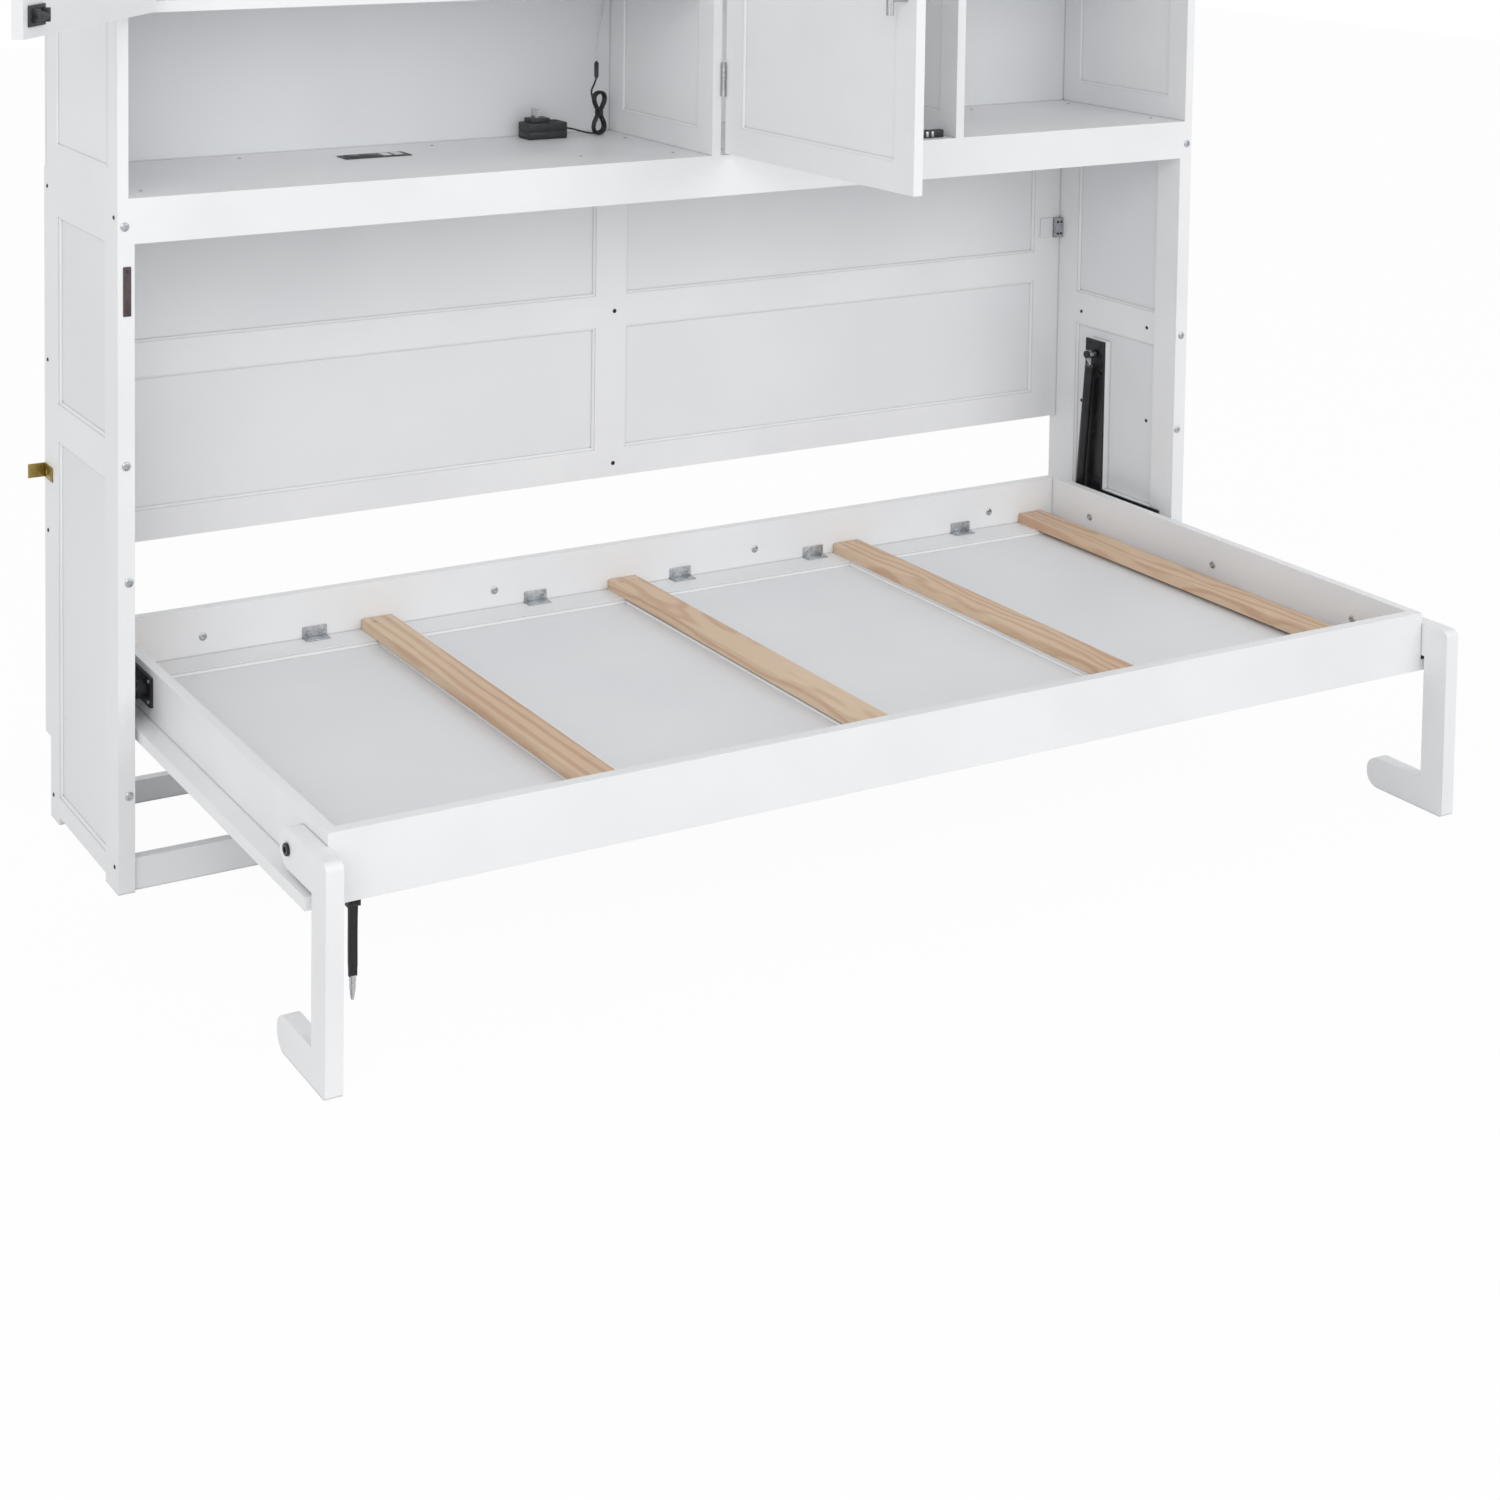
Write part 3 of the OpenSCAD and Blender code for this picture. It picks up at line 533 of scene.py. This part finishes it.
def both_sides(make, mesh, x, y, z, out, *size):
    """Puts a fastening on the left half, and its mirror image on the right."""
    make(mesh, at(x, y, z), out, *size)
    make(mesh, at(CAB_W - x, y, z), (-out[0], out[1], out[2]), *size)


# Bolts in the front faces of the posts
heads = bmesh.new()
for x, z in ((12, 1064), (14, 686), (18.5, 500), (18.5, 157)):
    both_sides(cap_head, heads, x, 0, z, (0, -1, 0))
piece("post_bolts", heads, bright_zinc, "cabinet", replaces=("cabinet_bolts",))

# Dark screws: in the sides' outer faces, in their inner rails and panels, in the middle
# stile of the back, and in the corner plates
dark = bmesh.new()
for y, z in ((17, 1077), (352, 1077), (352, 782), (352, 490), (327, 41), (17, 40)):
    both_sides(screw_head, dark, 0, y, z, (-1, 0, 0), 3.4)
for y, z in ((89, 684), (280, 680)):
    both_sides(screw_head, dark, 20, y, z, (1, 0, 0), 3.4)
for y, z in ((280, 494), (91, 496)):
    both_sides(screw_head, dark, 14, y, z, (1, 0, 0), 3.4)
for z in (764, 473):
    screw_head(dark, at(1108, BACK_Y, z), (0, -1, 0), 4.0)
for x in (26, 34):
    for z in (832, 856):
        both_sides(screw_head, dark, x, 341, z, (0, -1, 0), 2.6)
piece("side_screws", dark, black_steel, "cabinet")

# Screws down through the fixed shelf into the sides, uprights and back
shelf = bmesh.new()
for x, y in ((60, 60), (60, 300), (330, 310), (700, 310), (1050, 60), (1066, 250),
             (880, 90), (1150, 60), (1590, 60), (1680, 60), (1680, 300), (2150, 60),
             (2150, 300), (1910, 310)):
    screw_head(shelf, at(x, y, SHELF_TOP), (0, 0, 1), 3.2)
piece("shelf_screws", shelf, bright_zinc, "cabinet")

# Bolts along the inner faces of the back rail and the end rails
END_RAIL_X = 87
rails = bmesh.new()
for x in (251, 817, 1383, 1949):
    cap_head(rails, at(x, BACK_RAIL_Y, 291), (0, -1, 0))
for y in (166, -174, -514):
    both_sides(cap_head, rails, END_RAIL_X, y, 290, (1, 0, 0))
piece("rail_bolts", rails, bright_zinc, "bed", replaces=("bed_screws",))

# Slats are held by two screws at each end
SLAT_XS = (117.5, 580.8, 1086.8, 1597.2, 2056)
SLAT_ENDS = (-612, 258)
slat_screws = bmesh.new()
for x in SLAT_XS:
    for y in SLAT_ENDS:
        for off in (-14, 14):
            screw_head(slat_screws, at(x + off, y, SLAT_TOP), (0, 0, 1), 3.4)
piece("slat_screws", slat_screws, bright_zinc, "bed")

# Zinc angles in the corner of the back rail, four screws each
ANGLE_HALF, ANGLE_LEG, ANGLE_T = 23, 20, 2
SCREW_OFF = 12
angles = bmesh.new()
for x in (459.8, 902, 1214.4, 1518, 1876.6):
    far_y, face_y, tread_z = BACK_RAIL_Y, BACK_RAIL_Y - ANGLE_T, RAIL_Z + ANGLE_T
    block(angles, (x - ANGLE_HALF, face_y, RAIL_Z),
          (x + ANGLE_HALF, far_y, RAIL_Z + ANGLE_LEG), CABINET, 0.5)
    block(angles, (x - ANGLE_HALF, far_y - ANGLE_LEG, RAIL_Z),
          (x + ANGLE_HALF, far_y, tread_z), CABINET, 0.5)
    for off in (-15, 15):
        screw_head(angles, at(x + off, face_y, RAIL_Z + SCREW_OFF), (0, -1, 0), 3.2)
        screw_head(angles, at(x + off, far_y - SCREW_OFF, tread_z), (0, 0, 1), 3.2)
piece("rail_angles", angles, bright_zinc, "bed", replaces=("angle_brackets",))

# Bolts that carry the legs: a broad cap head on a plain shank
LEG_FACE_X = 41.7
LEG_BOLT = [(6, -39.3), (6, 0), (8.6, 0), (9, 0.5), (9, 3.2), (8.2, 4), (4.2, 4, 6),
            (4.0, 1.6, 6)]
leg_bolt_mesh = bmesh.new()
for x, way in ((LEG_FACE_X, -1), (CAB_W - LEG_FACE_X, 1)):
    turned(leg_bolt_mesh, facing(at(x, -575, 295), (way, 0, 0)), LEG_BOLT)
piece("leg_cap_bolts", leg_bolt_mesh, black_steel, "bed",
      replaces=("leg_bolts",))

# Yellow angles between the sides and the wall
WALL_Y = 370
WALL_ANGLE_LOW, WALL_ANGLE_MIDDLE, WALL_ANGLE_HIGH = 578, 590, 602
wall = bmesh.new()
for mirror in (1, -1):
    flip = (Matrix.Translation(at(CAB_W / 2, 0, 0)) @ Matrix.Diagonal((mirror, 1, 1, 1))
            @ Matrix.Translation(Vector((-CAB_W / 2 * MM, 0, 0))))
    block(wall, (-2, 326, WALL_ANGLE_LOW), (0, WALL_Y, WALL_ANGLE_HIGH), flip, 0.5)
    block(wall, (-30, WALL_Y - 2, WALL_ANGLE_LOW), (0, WALL_Y, WALL_ANGLE_HIGH), flip, 0.5)
    for y in (336, 354):
        screw_head(wall, flip @ (Vector((-2, y, WALL_ANGLE_MIDDLE)) * MM), (-mirror, 0, 0), 4.2)
    for x in (-22, -10):
        hole = flip @ (Vector((x, WALL_Y - 2, WALL_ANGLE_MIDDLE)) * MM)
        turned(wall, facing(hole, (0, -1, 0)),
               [(2.6, -0.4), (3.2, -0.4), (3.4, 0.15), (2.9, 0.15), (2.6, -0.3)])
piece("wall_angles", wall, yellow_zinc, "cabinet", replaces=("wall_brackets",))

# Lock plate let into the left post, with its slot
lock = bmesh.new()
block(lock, (9, -1.4, 923), (22, 0.2, 1001), CABINET, 0.5)
block(lock, (13, -1.5, 938), (18, -1.3, 986), CABINET, 0.1)
screw_head(lock, at(15.5, -1.2, 930), (0, -1, 0), 2.6)
screw_head(lock, at(15.5, -1.2, 994), (0, -1, 0), 2.6)
piece("lock_plate", lock, bronzed_steel, "cabinet", replaces=("strike_plate",))


# ---------- Beads round the panels ----------

# Section of the bead: distance in from the frame, and height above the panel
BEAD = [(0, 0), (0, 4.6), (1.6, 4.6), (3.4, 3.6), (4.4, 1.8), (4.6, 0)]


def bead(mesh, corner, along, across, out, lengths):
    """A mitred quarter-round bead inside a rectangle, standing on the panel.

    corner is the rectangle's own corner, along and across its sides, out the way that the
    bead stands up, and lengths the two sides in millimetres.
    """
    u, v, n = (Vector(d) for d in (along, across, out))
    rings = []
    for a, h in BEAD:
        low, wide, tall = a * MM, lengths[0] * MM - a * MM, lengths[1] * MM - a * MM
        rings.append([corner + u * s + v * t + n * h * MM
                      for s, t in ((low, low), (wide, low), (wide, tall), (low, tall))])
    loft(mesh, rings, close=True)


X, Y, Z = Vector((1, 0, 0)), Vector((0, 1, 0)), Vector((0, 0, 1))
beads = bmesh.new()
# Both faces of the side panels, then of the back panels, then of the hutch's uprights
for z0, z1 in ((47, 655), (718, 1034)):
    for x, out in ((6, -X), (14, X), (CAB_W - 6, X), (CAB_W - 14, -X)):
        bead(beads, at(x, 60, z0), Y, Z, out, (236, z1 - z0))
for x0, x1 in ((86, 1067), (1133, 2114)):
    for z0, z1 in ((502, 735), (795, 1030)):
        bead(beads, at(x0, 358, z0), X, Z, -Y, (x1 - x0, z1 - z0))
        bead(beads, at(x0, 364, z0), X, Z, Y, (x1 - x0, z1 - z0))
for x, out in ((4, -X), (14, X), (1096, -X), (1106, X), (1629, -X), (1639, X),
               (CAB_W - 14, -X), (CAB_W - 4, X)):
    bead(beads, at(x, 48, 1150), Y, Z, out, (258, 922))
piece("panel_beads", beads, white_paint, "cabinet")

# The four panels of the bed's deck: width, length, and step from one to the next
DECK_W, DECK_L, DECK_STEP = 422.5, 787, 502.5
deck_beads = bmesh.new()
for i in range(4):
    x = 135 + i * DECK_STEP
    bead(deck_beads, at(x, -570, 252.5), X, Y, Z, (DECK_W, DECK_L))
    bead(deck_beads, at(x, -570, 246.5), X, Y, -Z, (DECK_W, DECK_L))
piece("deck_beads", deck_beads, white_paint, "bed")

# The doors' hinge lines lie 4 mm in front of the cabinet, and the doors stand open
MIDDLE_DOOR = door_place(1111.5, -4, 88)
LEFT_DOOR = door_place(41.5, -4, 134)
# Width of a door's stiles and outer rails, half its middle rail and how far that lies
# below the middle; gap at the hinge line, and depth of the panels behind the face
STILE, HALF_RAIL, RAIL_DROP = 48, 30, 64
HINGE_GAP, PANEL_IN = 1.5, 9
for name, place, wide, low, high in (("middle_door", MIDDLE_DOOR, 509, 1112, 2129),
                                     ("left_door", LEFT_DOOR, 450, 1400, 2129)):
    trim = bmesh.new()
    middle = (low + high) / 2 - RAIL_DROP
    turn = place.to_3x3()
    for z0, z1 in ((low + STILE, middle - HALF_RAIL), (middle + HALF_RAIL, high - STILE)):
        corner = place @ (Vector((STILE + HINGE_GAP, PANEL_IN, z0)) * MM)
        bead(trim, corner, turn @ X, turn @ Z, turn @ -Y, (wide - 2 * STILE, z1 - z0))
    piece(name + "_beads", trim, white_paint, name)

# Screws in the leaves of the hinges
for name, place, zs in (("middle", MIDDLE_DOOR, (1212, 1532, 2012)),
                        ("left", LEFT_DOOR, (1490, 2000))):
    pins = bmesh.new()
    turn = place.to_3x3()
    for z in zs:
        for up in (20, 30, 40):
            flush_screw(pins, place @ (Vector((0, 13, z + up)) * MM), turn @ -X, 2.4)
    piece(name + "_hinge_screws", pins, bright_zinc, name + "_door")


# ---------- Small fittings of the hutch ----------

# Magnet catch: a housing with two steel faces
catch = bmesh.new()
block(catch, (1553, 20, SHELF_TOP), (1613, 34, SHELF_TOP + 14), CABINET, 1.5)
for x in (1560, 1600):
    screw_head(catch, at(x, 20.2, SHELF_TOP + 7), (0, -1, 0), 2.6)
piece("magnet_catch", catch, black_abs, "cabinet",
      replaces=("middle_door_catch",))
faces = bmesh.new()
for x in (1572, 1584):
    block(faces, (x, 18.8, SHELF_TOP + 2), (x + 5, 20.4, SHELF_TOP + 12), CABINET, 0.3)
piece("magnet_faces", faces, steel_bar, "cabinet")

# Roller catch on the left door: a base plate, two cheeks and a roller
ALONG_X = Matrix.Rotation(pi / 2, 4, "Y")
roller = bmesh.new()
block(roller, (388, 22, 1416), (438, 25.5, 1446), LEFT_DOOR, 1)
for x in (396, 425):
    block(roller, (x, 25, 1421), (x + 5, 37, 1441), LEFT_DOOR, 1)
turned(roller, LEFT_DOOR @ Matrix.Translation(Vector((396, 31, 1430)) * MM) @ ALONG_X,
       [(3, 0), (6.6, 5.5), (7, 7), (7, 27), (6.6, 28.5), (3, 34)])
for x in (391.8, 434.2):
    screw_head(roller, LEFT_DOOR @ (Vector((x, 25.3, 1431)) * MM), LEFT_DOOR.to_3x3() @ Y, 2.0)
piece("roller_catch", roller, black_abs, "left_door",
      replaces=("left_door_catch",))

# Socket strip: a plate with two socket blocks, two slots in each, and two charging ports
strip = bmesh.new()
STRIP = Matrix.Translation(at(491, 222, SHELF_TOP))
block(strip, (0, 0, 0), (126, 40, 1.8), STRIP, 0.8)
for x in (10, 38):
    block(strip, (x, 8, 1.6), (x + 25, 34, 3.0), STRIP, 0.5)
    for y in (15, 24):
        block(strip, (x + 6, y, 2.9), (x + 13, y + 1.6, 3.0), STRIP, 0.02)
piece("socket_strip", strip, black_abs, "cabinet", replaces=("power_strip",))
ports = bmesh.new()
for x in (76, 98):
    block(ports, (x, 9, 1.6), (x + 15, 31, 2.9), STRIP, 0.6)
piece("charging_ports", ports, white_plastic, "cabinet")

# Adapter: a rounded housing with a parting line, and a raised foot for its pins
house = bmesh.new()
ADAPTER = Matrix.Translation(at(890, 295, SHELF_TOP))
block(house, (0, 0, 0), (80, 44, 14.6), ADAPTER, 3)
block(house, (0.5, 0.5, 14), (79.5, 43.5, 15.4), ADAPTER, 0.2)
block(house, (0, 0, 14.8), (80, 44, 30), ADAPTER, 3)
block(house, (8, 8, 29), (48, 36, 38), ADAPTER, 2)
for x in range(54, 74, 4):
    block(house, (x, 9, 29.6), (x + 2, 35, 30.5), ADAPTER, 0.3)
# The ribbed boot round the lead
turned(house, ADAPTER @ Matrix.Translation(Vector((79, 22, 15)) * MM) @ ALONG_X,
       [(5, 0), (5, 1.2), (3.9, 1.6), (3.9, 2.6), (4.5, 3), (4.5, 4), (3.4, 4.4),
        (3.4, 5.4), (4, 5.8), (4, 6.8), (2.8, 7.4), (2.5, 9)])
piece("adapter_house", house, black_abs, "cabinet", replaces=("adapter",))


# ---------- Gas springs ----------

# Upper bolt of each spring, and the spring's lean from the vertical in degrees
SPRING_X, SPRING_Y, SPRING_Z = 46, 221, 606
SPRING_LEAN = 4.7334
# Distances down from the upper bolt, in millimetres
NUT_AT, UPPER_COLLAR_AT, LOWER_COLLAR_AT = 9.4, 19.4, 272
for x, tag in ((SPRING_X, "left"), (CAB_W - SPRING_X, "right")):
    down = (Matrix.Translation(at(x, SPRING_Y, SPRING_Z))
            @ Matrix.Rotation(pi + radians(SPRING_LEAN), 4, "X"))
    ends = bmesh.new()
    turned(ends, down @ Matrix.Translation(Vector((0, 0, UPPER_COLLAR_AT * MM))),
           [(4.6, 0), (8.6, 0.4), (9.0, 1.2), (9.0, 6), (8.4, 6.8), (8.9, 7.6)])
    turned(ends, down @ Matrix.Translation(Vector((0, 0, LOWER_COLLAR_AT * MM))),
           [(8.9, 0), (9.0, 1), (9.0, 7), (8.0, 9.4), (6.1, 10.4), (6.1, 11.4)])
    piece("spring_collars_" + tag, ends, steel_bar, "spring_cylinders")
    nuts = bmesh.new()
    turned(nuts, down @ Matrix.Translation(Vector((0, 0, NUT_AT * MM))),
           [(5.4, 0, 6), (6.2, 0.6, 6), (6.2, 5.2, 6), (5.4, 5.8, 6)])
    piece("spring_nut_" + tag, nuts, steel_bar, "spring_rods")

# Screws in the pivot plates, and in the plates on the bed's end rails
plate_screws = bmesh.new()
for y, z in ((208, 624), (239, 624), (207, 575), (240, 575), (224, 446), (210, 360), (238, 360),
             (60, 284), (110, 284), (160, 284), (110, 322), (160, 322)):
    both_sides(screw_head, plate_screws, 33, y, z, (1, 0, 0), 4.0)
piece("plate_screws", plate_screws, black_steel, "cabinet")
bed_plate_screws = bmesh.new()
for y, z in ((38, 322), (38, 289), (150, 318), (150, 290), (200, 318), (262, 320), (262, 286)):
    both_sides(screw_head, bed_plate_screws, 64, y, z, (-1, 0, 0), 3.6)
piece("bed_plate_screws", bed_plate_screws, bright_zinc, "bed")


# ---------- Safety strap ----------

# A loop round the staple's pin, the band that hangs from it, and a crimped steel tip
STRAP_X, STRAP_Y, STRAP_TOP = 112, -638, 232
STRAP_HALF, STRAP_HALF_T = 6.5, 2.4
# The band starts below the loop, and is drawn in this many steps of this length
BAND_DROP, BAND_STEPS, BAND_STEP = 4, 12, 8.2
strap = bmesh.new()
turned(strap, facing(at(STRAP_X - STRAP_HALF, STRAP_Y, STRAP_TOP), (1, 0, 0)),
       [(2.2, 0), (4.8, 0), (5.0, 0.6), (5.0, 12.4), (4.8, 13), (2.2, 13)])
outline = []
for i in range(BAND_STEPS + 1):
    share = i / BAND_STEPS
    sway = 0.6 * sin(share * pi * 1.5) * share
    # Narrower where the tip grips it, thicker where the loop is stitched down
    half = STRAP_HALF if i < 11 else 6.0
    thick = STRAP_HALF_T + 0.9 * max(2 - i, 0) / 2
    outline.append([at(STRAP_X + s * half, STRAP_Y + t * thick + sway,
                       STRAP_TOP - BAND_DROP - i * BAND_STEP)
                    for s, t in ((-1, -1), (-0.9, -1), (0.9, -1), (1, -1),
                                 (1, 1), (0.9, 1), (-0.9, 1), (-1, 1))])
loft(strap, outline)
piece("strap_band", strap, webbing, "safety_strap", replaces=("safety_strap",))
tip = bmesh.new()
turned(tip, facing(at(STRAP_X, STRAP_Y, 131), (0, 0, -1)),
       [(4.6, 0), (5.0, 1), (5.0, 9), (4.2, 10), (4.2, 12), (4.8, 13), (4.4, 20), (3.0, 30),
        (2.0, 34.6)])
piece("strap_tip", tip, steel_bar, "safety_strap")


# ---------- Room ----------

def seen_directly(tree):
    """1 for what the camera sees, itself, in a mirror or through glass, and 0 for light."""
    seen = add(tree, "ShaderNodeLightPath")
    either = add(tree, "ShaderNodeMath", {"operation": "MAXIMUM"},
                 {0: seen.outputs["Is Camera Ray"], 1: seen.outputs["Is Glossy Ray"]})
    any_of = add(tree, "ShaderNodeMath", {"operation": "MAXIMUM"},
                 {0: either.outputs[0], 1: seen.outputs["Is Transmission Ray"]})
    return any_of.outputs[0]


# Half the floor's width, in metres
FLOOR_HALF = 12
ground = bmesh.new()
ground.faces.new([ground.verts.new((x * FLOOR_HALF, y * FLOOR_HALF, 0))
                  for x, y in ((-1, -1), (1, -1), (1, 1), (-1, 1))])
ground_data = bpy.data.meshes.new("floor")
ground.to_mesh(ground_data)
ground.free()
floor = bpy.data.objects.new("floor", ground_data)
bpy.context.scene.collection.objects.link(floor)

# Matt pale studio floor: seen directly it is lifted towards white, and the paint's small
# share keeps a soft shadow
GLOW_SHARE = 0.96
floor_paint = bpy.data.materials.new("studio_floor")
floor_paint.use_nodes = True
tree = floor_paint.node_tree
tree.nodes.clear()
share = add(tree, "ShaderNodeMath", {"operation": "MULTIPLY"},
            {0: seen_directly(tree), 1: GLOW_SHARE})
plain = add(tree, "ShaderNodeBsdfDiffuse", None, {"Color": (0.86, 0.86, 0.86, 1)})
glow = add(tree, "ShaderNodeEmission", None, {"Color": (1, 1, 1, 1), "Strength": 1.0})
both = add(tree, "ShaderNodeMixShader", None,
           {0: share.outputs[0], 1: plain.outputs[0], 2: glow.outputs[0]})
add(tree, "ShaderNodeOutputMaterial", None, {"Surface": both.outputs[0]})
ground_data.materials.append(floor_paint)

# White surroundings, a little dimmer as light than as they look
SKY_LIGHT = 0.7
world = bpy.data.worlds.new("studio")
bpy.context.scene.world = world
world.use_nodes = True
tree = world.node_tree
tree.nodes.clear()
strength = add(tree, "ShaderNodeMapRange", None,
               {"Value": seen_directly(tree), "To Min": SKY_LIGHT, "To Max": 1.0})
sky = add(tree, "ShaderNodeBackground", None,
          {"Color": (1, 1, 1, 1), "Strength": strength.outputs[0]})
add(tree, "ShaderNodeOutputWorld", None, {"Surface": sky.outputs[0]})


def softbox(name, place, aim, size, power):
    """A large square lamp that looks at a point; places and size in metres, power in watts."""
    data = bpy.data.lights.new(name, "AREA")
    data.shape = "SQUARE"
    data.size = size
    data.energy = power
    lamp = bpy.data.objects.new(name, data)
    lamp.matrix_world = facing(Vector(place), Vector(place) - Vector(aim))
    bpy.context.scene.collection.objects.link(lamp)


# Both lamps look at this point over the middle of the floor rail, in metres
LAMP_AIM = (0, 0, 0.8)
softbox("key", (-4.0, -4.6, 3.3), LAMP_AIM, 3.6, 100)
softbox("fill", (2.4, -5.2, 3.0), LAMP_AIM, 3.2, 66)
